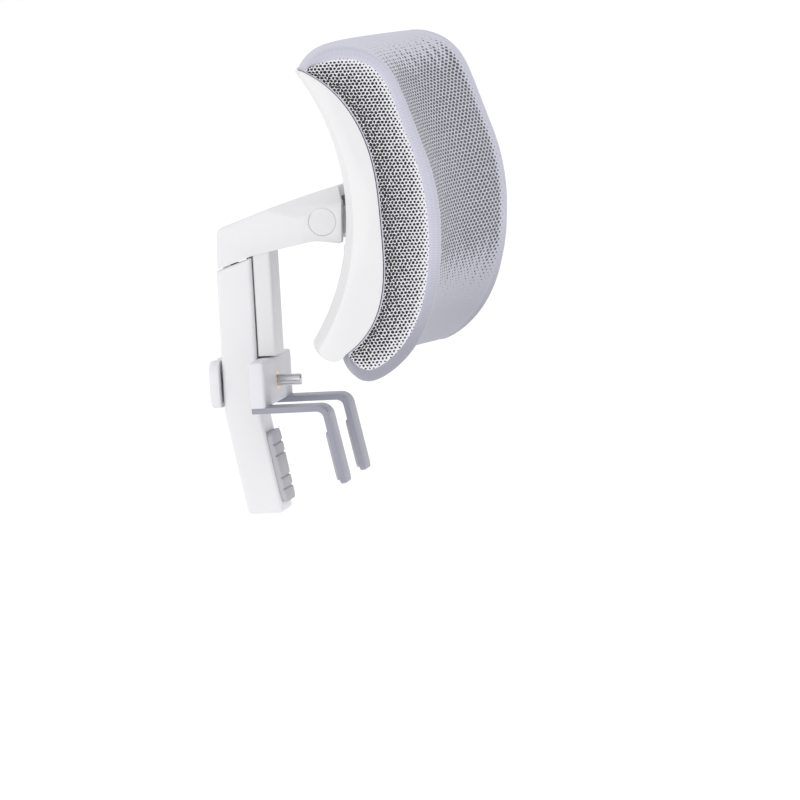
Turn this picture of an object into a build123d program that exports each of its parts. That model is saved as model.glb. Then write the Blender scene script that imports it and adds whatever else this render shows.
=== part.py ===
from build123d import *
import os
from math import cos, radians, sin, sqrt, tan

os.makedirs("parts", exist_ok=True)

# Clamp-on headrest for a mesh office chair, in millimetres.
# +Z runs up the height slide, -Y faces the sitter's head, X goes across the chair.
# The origin is the centre of the pad face that bears on the back of the chair's top rail.

# Post: a channel open towards the chair, over a tail that leans forwards
post_width = 30.0
post_depth = 19.0
side_wall = 2.4
back_wall = 3.4
lip_depth = 2.6
neck_slot = 17.0
post_top = 105.0
rim_rise = 6.4
kink_z = 30.0
tail_lean = 10.0
tail_bottom = -24.5
pad_thickness = 3.0
pad_height = 38.0
pad_margin = 2.5
pad_tread_pitch = 6.0
pad_tread_depth = 0.8
spring_below_top = 17.0
spring_x = 6.0
spring_length = 26.0
spring_width = 7.0
spring_leaf = 0.5
spring_recess = 1.3
stop_below_top = 10.0
stop_x = -7.0
stop_reach = 1.6

# Arm: a leg that slides in the post, and a boom that widens into the hinge hood
slide_gap = 0.25
rim_gap = 0.6
height_travel = 30.0
detent_pitch = 5.0
leg_strip_width = 27.0
leg_strip_depth = 9.7
leg_to_carriage = 1.0
tongue_below_strip = 6.5
boom_root_width = 29.0
hood_width = 51.0
hood_cheek = 6.3
hood_roof = 3.8
facet_root = 1.0
facet_end = 9.0

# Tilt hinge, on an axis along X
tilt_y = -32.4
tilt_above_post = 24.0
pin_radius = 4.0
pin_head_radius = 6.2
pin_head_height = 2.2
bush_wall = 1.2
bush_flange = 1.0
running_gap = 0.05
washer_thickness = 1.2
barrel_radius = 9.5
barrel_to_cheek = 0.3
cap_radius = 7.4
cap_thickness = 1.5

# Headrest: a shell hollow towards the back, a carrier board, and a padded, sewn cushion
head_width = 270.0
plan_radius = 489.0
tilt_to_shell = 15.0
hollow_radius = 125.0
hollow_above_tilt = 10.0
shell_above_middle = 71.0
shell_below_middle = 69.0
shell_wall = 3.0
end_inset = 0.6
board_half_height = 45.0
board_half_width = 112.0
seat_gap = 0.5
fabric = 1.6
plate_gap = 0.2

# Bosses on the shell: deep ones inside it for the sunk board screws, low pads behind for the bracket's
boss_radius = 6.0
boss_floor = 2.4
boss_root = 1.6
head_sink = 1.1
pocket_gap = 0.3
pad_boss_radius = 4.6
pad_boss_proud = 1.0
head_gap = 0.3
insert_depth = 0.3

# Tilt bracket: a flanged base inside the shell, and a web and barrel behind it
base_width = 74.0
base_height = 46.0
base_thickness = 2.5
web_inset = 0.7
web_height = 14.0
window_gap = 0.5

# Clamp: knob, screw, carriage and two hooks over the chair's top rail
screw_z = 45.0
screw_radius = 3.0
clamp_travel = 12.0
screw_spare = 0.6
knob_width = 38.0
knob_height = 25.0
knob_thickness = 5.3
hex_flats = 10.0
hex_height = 4.0
washer_gap = 0.2
flat_washer = 1.0
carriage_width = 90.0
carriage_height = 24.0
carriage_depth = 8.0
carriage_gap = 0.4
guide_width = 4.5
guide_height = 10.0
guide_reach = 14.5
guide_x = 10.2
guide_gap = 0.1
nut_width = 10.0
nut_height = 5.0
clip_radius = 5.4
clip_thickness = 0.8
hook_x = 34.0
hook_width = 20.0
hook_thickness = 3.0
throat_depth = 34.0
prong_length = 42.0
prong_lean = 11.0
hook_bend = 4.0
hook_pad_thickness = 1.5
hook_pad_z = 7.0
hook_screw_step = 5.0
hook_screw_reach = 11.0

# Fasteners
m3_radius = 1.5
m4_radius = 2.0
m4_head_radius = 3.8
m4_head_height = 2.2
insert_radius = 3.0
insert_length = 5.5
sink_gap = 0.1
sunk_radius = 3.6
sunk_clearance = 0.12
board_screw_x = 88.0
board_screw_z = 28.0

# Places that follow from the dimensions above
lean = radians(tail_lean)
corners = [(-1, -1), (-1, 1), (1, -1), (1, 1)]


def tail_point(depth, up):
    """Point (y, z) this deep behind the pad's face and this far up along the tail."""
    return (depth * cos(lean) + up * sin(lean), -depth * sin(lean) + up * cos(lean))


def tail_at_height(depth, z):
    """Point (y, z) at a height, this deep behind the pad's face."""
    return tail_point(depth, (z + depth * sin(lean)) / cos(lean))


def tail_at_y(depth, y):
    """Point (y, z) where the face this deep behind the pad's face reaches y."""
    return tail_point(depth, (y - depth * cos(lean)) / sin(lean))


post_back = tail_at_height(pad_thickness + post_depth, kink_z)[0]
post_front = post_back - post_depth
spring_z = post_top - spring_below_top
stop_z = post_top - stop_below_top
carriage_bottom = screw_z - carriage_height / 2 + 1
leg_strip_bottom = carriage_bottom + carriage_height + leg_to_carriage
pocket_floor = leg_strip_bottom - tongue_below_strip - 0.5
tongue_width = post_width - 2 * side_wall - 2 * slide_gap
tongue_back = post_back - back_wall - slide_gap
tongue_front = post_front + lip_depth + slide_gap
tongue_bottom = leg_strip_bottom - tongue_below_strip
neck_width = neck_slot - 2 * slide_gap
strip_back = post_front - rim_gap
strip_front = strip_back - leg_strip_depth
cheek_inner = hood_width / 2 - hood_cheek
hood_end_y = tilt_y - 10.6
hood_end_z = post_top + 42.3
tilt_z = post_top + tilt_above_post
hollow_mid_z = tilt_z + hollow_above_tilt
shell_top_z = hollow_mid_z + shell_above_middle
shell_low_z = hollow_mid_z - shell_below_middle
shell_back_y = tilt_y - tilt_to_shell
hollow_y = shell_back_y + hollow_radius
plan_y = shell_back_y - plan_radius
cap_outer = hood_width / 2
cap_inner = cap_outer - cap_thickness
pin_head_inner = cap_inner - 0.1 - pin_head_height
barrel_half = cheek_inner - washer_thickness - barrel_to_cheek
bush_outer = pin_radius + running_gap + bush_wall
web_width = 2 * (barrel_half - web_inset)
shell_half = head_width / 2 - end_inset
carriage_back = post_front - carriage_gap
carriage_front = carriage_back - carriage_depth
knob_front = post_back + washer_gap + flat_washer
screw_tip = carriage_front - clamp_travel - screw_spare
hook_seat_z = carriage_bottom - hook_thickness


def hollow_at(z, out=0.0):
    """Y of the shell's hollow back face at height z, moved forwards by out."""
    return hollow_y - sqrt((hollow_radius + out) ** 2 - (z - hollow_mid_z) ** 2)


def shell_at(x, z, out=0.0):
    """Y of that face away from the middle, where the plan curve brings it forwards."""
    return plan_y + sqrt((hollow_at(z, out) - plan_y) ** 2 - x**2)


# Section of the headrest at its middle, as (y, z) points from top to bottom
rim_points = [
    (shell_back_y + 21.2, hollow_mid_z + 72.5),
    (shell_back_y + 1.4, hollow_mid_z + 54.5),
    (shell_back_y - 10.2, hollow_mid_z + 25.8),
    (shell_back_y - 12.9, hollow_mid_z - 6.0),
    (shell_back_y - 7.3, hollow_mid_z - 55.0),
    (shell_back_y + 7.9, hollow_mid_z - 72.0),
]
crown_points = [
    (shell_back_y + 5.0, hollow_mid_z + 84.2),
    (shell_back_y - 16.5, hollow_mid_z + 78.5),
    (shell_back_y - 31.5, hollow_mid_z + 49.0),
    (shell_back_y - 41.5, hollow_mid_z + 14.0),
    (shell_back_y - 43.3, hollow_mid_z - 13.0),
    (shell_back_y - 37.5, hollow_mid_z - 49.0),
    (shell_back_y - 23.0, hollow_mid_z - 75.0),
    (shell_back_y - 2.0, hollow_mid_z - 86.5),
]
low_tip = (shell_back_y + 15.5, shell_low_z - 6.0)
plan_axis = Axis((0, plan_y, 0), (0, 0, 1))


def crescent_section(front=0.0):
    """Face between the hollow back and the rim, with the rim moved forwards by front."""
    rim = [(y - front, z) for y, z in rim_points]
    top = (hollow_at(shell_top_z), shell_top_z)
    middle = (hollow_at(hollow_mid_z), hollow_mid_z)
    low = (hollow_at(shell_low_z), shell_low_z)
    with BuildSketch() as crescent:
        with BuildLine():
            ThreePointArc(top, middle, low)
            ThreePointArc(low, low_tip, rim[-1])
            Spline(*reversed(rim))
            Line(rim[0], top)
        make_face()
    return crescent.sketch


def tray_section(out, front, low_z, high_z):
    """Part of the crescent in front of the hollow back moved forwards by out."""
    whole = crescent_section(front)
    with BuildSketch() as tray:
        add(whole)
        with Locations((hollow_y, hollow_mid_z)):
            Circle(hollow_radius + out, mode=Mode.SUBTRACT)
        with Locations((shell_back_y, (low_z + high_z) / 2)):
            Rectangle(200, high_z - low_z, mode=Mode.INTERSECT)
    return tray.sketch


def band_section(inner, outer, low_z, high_z):
    """Face between the hollow back moved forwards by inner and by outer."""
    with BuildSketch() as band:
        with Locations((hollow_y, hollow_mid_z)):
            Circle(hollow_radius + outer)
            Circle(hollow_radius + inner, mode=Mode.SUBTRACT)
        with Locations((shell_back_y, (low_z + high_z) / 2)):
            Rectangle(60, high_z - low_z, mode=Mode.INTERSECT)
    return band.sketch


def moved_in(outline, distance):
    """Points of a closed outline moved inwards, square to the line between their neighbours."""
    moved = []
    for before, point, after in zip([outline[-1]] + outline[:-1], outline, outline[1:] + outline[:1]):
        arriving = (Vector(*point) - Vector(*before)).normalized()
        leaving = (Vector(*after) - Vector(*point)).normalized()
        along = (arriving + leaving).normalized()
        reach = distance / max(along.dot(leaving), 0.35)
        moved.append((point[0] + along.Y * reach, point[1] - along.X * reach))
    return moved


def cushion_section(inset=0.0):
    """Face of the cushion, from the rim forwards to the crowned front, all of it inset."""
    rim = [(y - seat_gap, z) for y, z in rim_points]
    outline = moved_in(rim + crown_points[::-1], inset)
    back = outline[: len(rim)]
    front = outline[len(rim) - 1 :] + outline[:1]
    with BuildSketch() as cushion:
        with BuildLine():
            Spline(*back)
            Spline(*front)
        make_face()
    return cushion.sketch


def bent_slab(section, half_width):
    """Section, as (y, z), carried round the plan curve and trimmed to a width across the chair."""
    with BuildPart() as slab:
        with BuildSketch(Plane.YZ):
            add(section)
        revolve(axis=plan_axis, revolution_arc=25)
        mirror(about=Plane.YZ)
        with BuildSketch(Plane.XY):
            with Locations((0, shell_back_y)):
                Rectangle(2 * half_width, 400)
        extrude(amount=300, mode=Mode.INTERSECT)
    return slab.part


def sunk_head(origin, z_dir, radius):
    """Cone of a countersunk head, from this radius at origin down to the shank."""
    with BuildPart(Plane(origin=origin, x_dir=(1, 0, 0), z_dir=z_dir)) as head:
        Cone(radius, m4_radius, radius - m4_radius, align=(Align.CENTER, Align.CENTER, Align.MIN))
    return head.part


def save(part, name):
    part.label = name
    export_step(part, f"parts/{name}.step")


# ---- Post ----

into_tail = (0, cos(lean), -sin(lean))
rear_kink = (post_back, kink_z)
front_kink = tail_at_y(pad_thickness, post_front)
tail_front_foot = tail_at_height(pad_thickness, tail_bottom)
tail_rear_foot = tail_at_height(pad_thickness + post_depth, tail_bottom)

with BuildPart() as post_sleeve:
    with BuildSketch(Plane.YZ):
        with BuildLine():
            FilletPolyline(
                (post_back, post_top),
                (post_front, post_top + rim_rise),
                front_kink,
                tail_front_foot,
                tail_rear_foot,
                rear_kink,
                radius=[0.6, 0.6, 14.0, 2.0, 3.0, 18.0],
                close=True,
            )
        make_face()
    extrude(amount=post_width / 2, both=True)
    upright = post_sleeve.edges().filter_by(Axis.Z).group_by(Axis.Y)
    fillet(upright[-1], 2.2)
    # channel for the arm's tongue, and the slot between the lips for its neck
    with BuildSketch(Plane.XY.offset(pocket_floor)):
        with Locations((0, (post_back - back_wall + post_front + lip_depth) / 2)):
            Rectangle(post_width - 2 * side_wall, post_depth - back_wall - lip_depth)
        with Locations((0, post_front + lip_depth / 2)):
            Rectangle(neck_slot, lip_depth + 2)
    extrude(amount=post_top + rim_rise + 1 - pocket_floor, mode=Mode.SUBTRACT)
    # clamp screw bore and the two guide pockets
    with BuildSketch(Plane.XZ.offset(-post_back - 1)):
        with Locations((0, screw_z)):
            Circle(screw_radius + running_gap)
    extrude(amount=post_depth + 2, mode=Mode.SUBTRACT)
    with BuildSketch(Plane.XZ.offset(-post_front + 1)):
        with Locations((guide_x, screw_z), (-guide_x, screw_z)):
            Rectangle(guide_width + 2 * guide_gap, guide_height + 2 * guide_gap)
    extrude(amount=-(guide_reach + 1.5), mode=Mode.SUBTRACT)
    # recess for the detent spring, and the stop screw's hole
    with BuildSketch(Plane.XZ.offset(-(post_back - back_wall + spring_recess))):
        with Locations((spring_x, spring_z)):
            Rectangle(spring_width + 0.4, spring_length + 0.4)
    extrude(amount=spring_recess + 0.5, mode=Mode.SUBTRACT)
    with BuildSketch(Plane.XZ.offset(-post_back - 1)):
        with Locations((stop_x, stop_z)):
            Circle(m3_radius)
    extrude(amount=back_wall + 2, mode=Mode.SUBTRACT)
    # coring behind the pad, open at the tail's front face
    core_width = post_width - 2 * side_wall
    with BuildSketch(Plane(origin=(0, *tail_point(pad_thickness, 0)), x_dir=(1, 0, 0), z_dir=into_tail)):
        for row in (-8.5, 8.5):
            with Locations((0, row)):
                RectangleRounded(core_width - 3, 13.0, 2.0)
    extrude(amount=post_depth - back_wall, mode=Mode.SUBTRACT)
save(post_sleeve.part, "post_sleeve")

with BuildPart() as tail_pad:
    pad_plane = Plane(origin=(0, 0, 0), x_dir=(1, 0, 0), z_dir=into_tail)
    with BuildSketch(pad_plane):
        RectangleRounded(post_width - 2 * pad_margin + 2, pad_height, 4.0)
    extrude(amount=pad_thickness)
    # treads: shallow grooves across the gripping face, either side of its plain middle
    with BuildSketch(pad_plane):
        for side in (-1, 1):
            for step in range(2):
                with Locations((0, side * (pad_tread_pitch * (step + 1)))):
                    Rectangle(post_width, 1.2)
    extrude(amount=pad_tread_depth, mode=Mode.SUBTRACT)
save(tail_pad.part, "tail_pad")

with BuildPart() as detent_spring:
    recess_floor = post_back - back_wall + spring_recess - 0.02
    spring_crest = post_back - back_wall - 0.12
    half_length = spring_length / 2
    with BuildSketch(Plane.YZ.offset(spring_x)):
        with BuildLine():
            ThreePointArc(
                (recess_floor, spring_z - half_length),
                (spring_crest + spring_leaf, spring_z),
                (recess_floor, spring_z + half_length),
            )
            Line((recess_floor, spring_z + half_length), (recess_floor - spring_leaf, spring_z + half_length))
            ThreePointArc(
                (recess_floor - spring_leaf, spring_z + half_length),
                (spring_crest, spring_z),
                (recess_floor - spring_leaf, spring_z - half_length),
            )
            Line((recess_floor - spring_leaf, spring_z - half_length), (recess_floor, spring_z - half_length))
        make_face()
    extrude(amount=spring_width / 2, both=True)
save(detent_spring.part, "detent_spring")

with BuildPart() as stop_screw:
    stop_plane = Plane(origin=(stop_x, post_back - 0.3, stop_z), x_dir=(1, 0, 0), z_dir=(0, -1, 0))
    with BuildSketch(stop_plane):
        Circle(m3_radius)
    extrude(amount=back_wall + stop_reach - 0.3)
    with BuildSketch(stop_plane):
        RegularPolygon(0.85, 6)
    extrude(amount=1.4, mode=Mode.SUBTRACT)
save(stop_screw.part, "stop_screw")

# ---- Arm ----

boom_top = [
    (post_back - 1.6, post_top + 22.2),
    (post_back - 31.1, post_top + 32.2),
    (post_back - 47.4, post_top + 37.0),
    (tilt_y - 7.9, hood_end_z),
]
boom_end = [(hood_end_y, tilt_z + 10.1), (tilt_y - 9.6, tilt_z - 12.0)]
boom_under = (tilt_y + 4.3, tilt_z - 9.7)
rim_slope = rim_rise / post_depth


def above_rim(y):
    """Point (y, z) just above the post's slanted rim."""
    return (y, post_top + (post_back - y) * rim_slope + rim_gap)


with BuildPart() as arm:
    with BuildSketch(Plane.YZ):
        with BuildLine():
            FilletPolyline(
                above_rim(post_back - 0.8),
                *boom_top,
                *boom_end,
                boom_under,
                above_rim(strip_back),
                radius=[0.5, 5.0, 60.0, 60.0, 1.0, 1.0, 1.5, 25.0, 0.4],
                close=True,
            )
        make_face()
    extrude(amount=hood_width / 2, both=True)
    # the boom widens from the root to the hood
    with BuildSketch(Plane.XY.offset(post_top - 15)):
        with BuildLine():
            Polyline(
                (-boom_root_width / 2, post_back + 5),
                (-boom_root_width / 2, strip_front + 1),
                (-hood_width / 2, tilt_y + 12),
                (-hood_width / 2, hood_end_y - 5),
                (hood_width / 2, hood_end_y - 5),
                (hood_width / 2, tilt_y + 12),
                (boom_root_width / 2, strip_front + 1),
                (boom_root_width / 2, post_back + 5),
                close=True,
            )
        make_face()
    extrude(amount=70, mode=Mode.INTERSECT)
    # long facets along both top edges, growing towards the hood
    for side in (-1, 1):
        root_edge = Vector(side * (boom_root_width / 2 - facet_root), post_back - 10, post_top + 25)
        end_edge = Vector(side * (hood_width / 2 - facet_end), tilt_y - 7.9, hood_end_z)
        end_side = Vector(side * hood_width / 2, tilt_y - 7.9, hood_end_z - facet_end)
        outward = (end_edge - root_edge).cross(end_side - root_edge)
        if outward.Z < 0:
            outward = outward * -1
        split(bisect_by=Plane(origin=root_edge, z_dir=outward), keep=Keep.BOTTOM)
    # leg: the strip in front of the post, the neck between its lips and the tongue inside
    with BuildSketch(Plane.XY.offset(leg_strip_bottom)):
        with Locations((0, (strip_back + strip_front) / 2)):
            RectangleRounded(leg_strip_width, leg_strip_depth, 1.6)
    extrude(amount=above_rim(strip_back)[1] + 2 - leg_strip_bottom)
    with BuildSketch(Plane.XY.offset(tongue_bottom)):
        with Locations((0, (tongue_back + tongue_front) / 2)):
            Rectangle(tongue_width, tongue_back - tongue_front)
    extrude(amount=above_rim(tongue_back)[1] + 1 - tongue_bottom)
    with BuildSketch(Plane.XY.offset(leg_strip_bottom)):
        with Locations((0, (strip_back + tongue_front) / 2)):
            Rectangle(neck_width, tongue_front - strip_back + 1)
    extrude(amount=above_rim(tongue_front)[1] + 2 - leg_strip_bottom)
    # detent notches and the stop screw's slot in the back of the tongue
    notch_count = int(height_travel / detent_pitch) + 1
    with BuildSketch(Plane.YZ.offset(spring_x)):
        for step in range(notch_count):
            with Locations((tongue_back + 0.5, spring_z - step * detent_pitch)):
                Circle(1.6)
    extrude(amount=spring_width / 2 + 0.3, both=True, mode=Mode.SUBTRACT)
    with BuildSketch(Plane.XZ.offset(-tongue_back - 1)):
        with Locations((stop_x, stop_z - height_travel / 2)):
            SlotCenterToCenter(height_travel, 2 * m3_radius + 0.5, rotation=90)
    extrude(amount=stop_reach + 1.4, mode=Mode.SUBTRACT)
    # hood hollow for the bracket's barrel, open in front and below
    with BuildSketch(Plane.YZ):
        with BuildLine():
            Polyline(
                (tilt_y + barrel_radius + 1.6, tilt_z - 30),
                (tilt_y + barrel_radius + 1.6, tilt_z + 7.5),
                (tilt_y + 4.0, hood_end_z - hood_roof - 3.9),
                (hood_end_y - 5, hood_end_z - hood_roof - 0.7),
                (hood_end_y - 5, tilt_z - 30),
                close=True,
            )
        make_face()
    extrude(amount=cheek_inner, both=True, mode=Mode.SUBTRACT)
    # pin bore through both cheeks, with seats for the head, the nut and the caps
    with BuildSketch(Plane.YZ):
        with Locations((tilt_y, tilt_z)):
            Circle(pin_radius)
    extrude(amount=hood_width / 2 + 1, both=True, mode=Mode.SUBTRACT)
    for side in (-1, 1):
        with BuildSketch(Plane.YZ.offset(side * pin_head_inner)):
            with Locations((tilt_y, tilt_z)):
                Circle(cap_radius)
        extrude(amount=side * 10, mode=Mode.SUBTRACT)
save(arm.part, "arm")

# ---- Tilt hinge ----

with BuildPart() as tilt_pin:
    with BuildSketch(Plane.YZ.offset(-pin_head_inner)):
        with Locations((tilt_y, tilt_z)):
            Circle(pin_radius - 0.01)
    extrude(amount=2 * pin_head_inner + pin_head_height - 0.2)
    with BuildSketch(Plane.YZ.offset(-pin_head_inner)):
        with Locations((tilt_y, tilt_z)):
            Circle(pin_head_radius)
    extrude(amount=-pin_head_height)
    with BuildSketch(Plane.YZ.offset(-pin_head_inner - pin_head_height)):
        with Locations((tilt_y, tilt_z)):
            RegularPolygon(2.4, 6)
    extrude(amount=1.5, mode=Mode.SUBTRACT)
save(tilt_pin.part, "tilt_pin")

with BuildPart() as tilt_nut:
    with BuildSketch(Plane.YZ.offset(pin_head_inner)):
        with Locations((tilt_y, tilt_z)):
            RegularPolygon(cap_radius - 0.6, 6)
            Circle(pin_radius, mode=Mode.SUBTRACT)
    extrude(amount=pin_head_height)
save(tilt_nut.part, "tilt_nut")

with BuildPart() as pin_caps:
    for side in (-1, 1):
        with BuildSketch(Plane.YZ.offset(side * cap_inner)):
            with Locations((tilt_y, tilt_z)):
                Circle(cap_radius - 0.05)
        extrude(amount=side * cap_thickness)
    chamfer(pin_caps.edges().group_by(Axis.X)[0] + pin_caps.edges().group_by(Axis.X)[-1], 0.4)
save(pin_caps.part, "pin_caps")

with BuildPart() as tilt_bushes:
    for side in (-1, 1):
        with BuildSketch(Plane.YZ.offset(side * (barrel_half - 8))):
            with Locations((tilt_y, tilt_z)):
                Circle(bush_outer)
                Circle(pin_radius + running_gap, mode=Mode.SUBTRACT)
        extrude(amount=side * 8)
        with BuildSketch(Plane.YZ.offset(side * (barrel_half - bush_flange))):
            with Locations((tilt_y, tilt_z)):
                Circle(bush_outer + 2)
                Circle(pin_radius + running_gap, mode=Mode.SUBTRACT)
        extrude(amount=side * bush_flange)
save(tilt_bushes.part, "tilt_bushes")

with BuildPart() as friction_washers:
    for side in (-1, 1):
        with BuildSketch(Plane.YZ.offset(side * (barrel_half + barrel_to_cheek / 2))):
            with Locations((tilt_y, tilt_z)):
                Circle(barrel_radius - 0.5)
                Circle(pin_radius + running_gap, mode=Mode.SUBTRACT)
        extrude(amount=side * washer_thickness)
save(friction_washers.part, "friction_washers")

# ---- Headrest shell, bracket and board ----

bracket_screw_x = base_width / 2 - 6.0
bracket_screw_z = base_height / 2 - 6.5
board_screws_at = [(i * board_screw_x, hollow_mid_z + j * board_screw_z) for i, j in corners]
bracket_screws_at = [(i * bracket_screw_x, tilt_z + j * bracket_screw_z) for i, j in corners]


def rod(x, z, start_y, end_y, radius):
    """Round bar along Y, from start_y forwards to end_y."""
    with BuildPart() as bar:
        with BuildSketch(Plane(origin=(x, start_y, z), x_dir=(1, 0, 0), z_dir=(0, -1, 0))):
            Circle(radius)
        extrude(amount=start_y - end_y)
    return bar.part


def head_seat(x, z):
    """Y of the face that a board screw's head bears on, sunk below the shell's back."""
    return shell_at(x, z) - m4_head_height - head_sink


def boss_end(x, z):
    """Y of the inner end of a board screw's boss."""
    return head_seat(x, z) - boss_floor


def insert_face(x, z):
    """Y of a threaded insert's end, just below the floor of the board's pocket."""
    return boss_end(x, z) - plate_gap - insert_depth


shell_body = bent_slab(crescent_section(), shell_half)
tray_low = rim_points[-1][1] + shell_wall
tray_room = bent_slab(tray_section(shell_wall, 1.0, tray_low, shell_top_z), shell_half - shell_wall)

with BuildPart() as back_shell:
    add(shell_body)
    for x, z in bracket_screws_at:
        add(rod(x, z, shell_at(x, z) + pad_boss_proud, shell_at(x, z) - shell_wall - 0.5, pad_boss_radius))
    add(tray_room, mode=Mode.SUBTRACT)
    for x, z in board_screws_at:
        add(rod(x, z, shell_at(x, z) - boss_root, boss_end(x, z), boss_radius))
    for x, z in board_screws_at:
        add(rod(x, z, shell_at(x, z) + 2, head_seat(x, z), m4_head_radius + head_gap), mode=Mode.SUBTRACT)
        add(rod(x, z, shell_at(x, z), boss_end(x, z) - 1, m4_radius + 0.1), mode=Mode.SUBTRACT)
    for x, z in bracket_screws_at:
        seat = shell_at(x, z) + pad_boss_proud
        add(sunk_head((x, seat, z), (0, -1, 0), sunk_radius + sunk_clearance), mode=Mode.SUBTRACT)
        add(rod(x, z, seat + 1, shell_at(x, z) - 10, m4_radius + 0.1), mode=Mode.SUBTRACT)
    # window for the bracket's web
    with BuildSketch(Plane.XZ.offset(-shell_back_y - 10)):
        with Locations((0, tilt_z)):
            RectangleRounded(web_width + 2 * window_gap, web_height + 2 * window_gap, 1.0)
    extrude(amount=25, mode=Mode.SUBTRACT)
save(back_shell.part, "back_shell")

base_inner = shell_wall + plate_gap
base_outer = base_inner + base_thickness
base_low = tilt_z - base_height / 2
base_high = tilt_z + base_height / 2
base_plate = bent_slab(band_section(base_inner, base_outer, base_low, base_high), base_width / 2)

with BuildPart() as tilt_bracket:
    add(base_plate)
    web_front = hollow_at(tilt_z, base_inner + base_thickness / 2)
    with BuildSketch(Plane.YZ):
        with Locations(((tilt_y + web_front) / 2, tilt_z)):
            Rectangle(tilt_y - web_front, web_height)
    extrude(amount=web_width / 2, both=True)
    with BuildSketch(Plane.YZ):
        with Locations((tilt_y, tilt_z)):
            Circle(barrel_radius)
    extrude(amount=barrel_half, both=True)
    with BuildSketch(Plane.YZ):
        with Locations((tilt_y, tilt_z)):
            Circle(bush_outer)
    extrude(amount=barrel_half + 1, both=True, mode=Mode.SUBTRACT)
    for side in (-1, 1):
        with BuildSketch(Plane.YZ.offset(side * (barrel_half - bush_flange))):
            with Locations((tilt_y, tilt_z)):
                Circle(bush_outer + 2)
        extrude(amount=side * (bush_flange + 1), mode=Mode.SUBTRACT)
    for x, z in bracket_screws_at:
        add(rod(x, z, shell_at(x, z) + 2, shell_at(x, z) - 12, m4_radius), mode=Mode.SUBTRACT)
save(tilt_bracket.part, "tilt_bracket")

with BuildPart() as bracket_screws:
    for x, z in bracket_screws_at:
        top = shell_at(x, z) + pad_boss_proud - sink_gap
        add(sunk_head((x, top, z), (0, -1, 0), sunk_radius))
        add(rod(x, z, top - 0.5, shell_at(x, z, base_outer) + 0.4, m4_radius))
    for x, z in bracket_screws_at:
        top = shell_at(x, z) + pad_boss_proud
        with BuildSketch(Plane(origin=(x, top, z), x_dir=(1, 0, 0), z_dir=(0, -1, 0))):
            Rectangle(4.0, 0.9)
            Rectangle(0.9, 4.0)
        extrude(amount=sink_gap + 1.2, mode=Mode.SUBTRACT)
save(bracket_screws.part, "bracket_screws")

board_body = bent_slab(
    tray_section(
        shell_wall + plate_gap, -0.3, hollow_mid_z - board_half_height, hollow_mid_z + board_half_height
    ),
    board_half_width,
)
base_pocket = bent_slab(
    band_section(shell_wall - 1, base_outer + 0.3, base_low - 1, base_high + 1), base_width / 2 + 1
)
with BuildPart() as carrier_board:
    add(board_body)
    add(base_pocket, mode=Mode.SUBTRACT)
    for x, z in board_screws_at:
        floor = boss_end(x, z) - plate_gap
        face = insert_face(x, z)
        add(rod(x, z, shell_at(x, z), floor, boss_radius + pocket_gap), mode=Mode.SUBTRACT)
        add(rod(x, z, floor + 1, face - insert_length, insert_radius), mode=Mode.SUBTRACT)
save(carrier_board.part, "carrier_board")

with BuildPart() as board_inserts:
    for x, z in board_screws_at:
        face = insert_face(x, z)
        add(rod(x, z, face, face - insert_length, insert_radius))
        add(rod(x, z, face + 1, face - insert_length - 1, m4_radius), mode=Mode.SUBTRACT)
save(board_inserts.part, "board_inserts")

with BuildPart() as board_screws:
    for x, z in board_screws_at:
        seat = head_seat(x, z)
        add(rod(x, z, seat + m4_head_height, seat, m4_head_radius))
        add(rod(x, z, seat, insert_face(x, z) - insert_length + 0.5, m4_radius))
    for x, z in board_screws_at:
        top = head_seat(x, z) + m4_head_height
        with BuildSketch(Plane(origin=(x, top, z), x_dir=(1, 0, 0), z_dir=(0, -1, 0))):
            Rectangle(4.0, 0.9)
            Rectangle(0.9, 4.0)
        extrude(amount=1.2, mode=Mode.SUBTRACT)
save(board_screws.part, "board_screws")

# ---- Cushion ----

cover_half = head_width / 2 - fabric
cushion_body = bent_slab(cushion_section(), head_width / 2)
cover_band = bent_slab(cushion_section(), cover_half - 0.05)
foam_body = bent_slab(cushion_section(fabric + 0.05), cover_half - 0.1)
cover_room = bent_slab(cushion_section(fabric), cover_half + 5)

with BuildPart() as foam_core:
    add(foam_body)
save(foam_core.part, "foam_core")

with BuildPart() as cover_panel:
    add(cover_band)
    add(cover_room, mode=Mode.SUBTRACT)
save(cover_panel.part, "cover_panel")

for name, side in (("cover_gusset_right", -1), ("cover_gusset_left", 1)):
    with BuildPart() as cover_gusset:
        add(cushion_body)
        with BuildSketch(Plane.YZ.offset(side * cover_half)):
            with Locations((shell_back_y, hollow_mid_z)):
                Rectangle(200, 300)
        extrude(amount=side * 20, mode=Mode.INTERSECT)
    save(cover_gusset.part, name)

# ---- Clamp ----

with BuildPart() as clamp_knob:
    with BuildSketch(Plane.XZ.offset(-knob_front)):
        with Locations((0, screw_z)):
            RectangleRounded(knob_width, knob_height, 7.0)
            with Locations((0, knob_height / 2 + 15), (0, -knob_height / 2 - 15)):
                Circle(16.5, mode=Mode.SUBTRACT)
    extrude(amount=-knob_thickness)
    fillet(clamp_knob.faces().sort_by(Axis.Y)[-1].edges(), 1.4)
    with BuildSketch(Plane.XZ.offset(-knob_front)):
        with Locations((0, screw_z)):
            RegularPolygon(hex_flats / 2 + 0.05, 6, major_radius=False)
    extrude(amount=-(hex_height + 0.1), mode=Mode.SUBTRACT)
save(clamp_knob.part, "clamp_knob")

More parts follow.
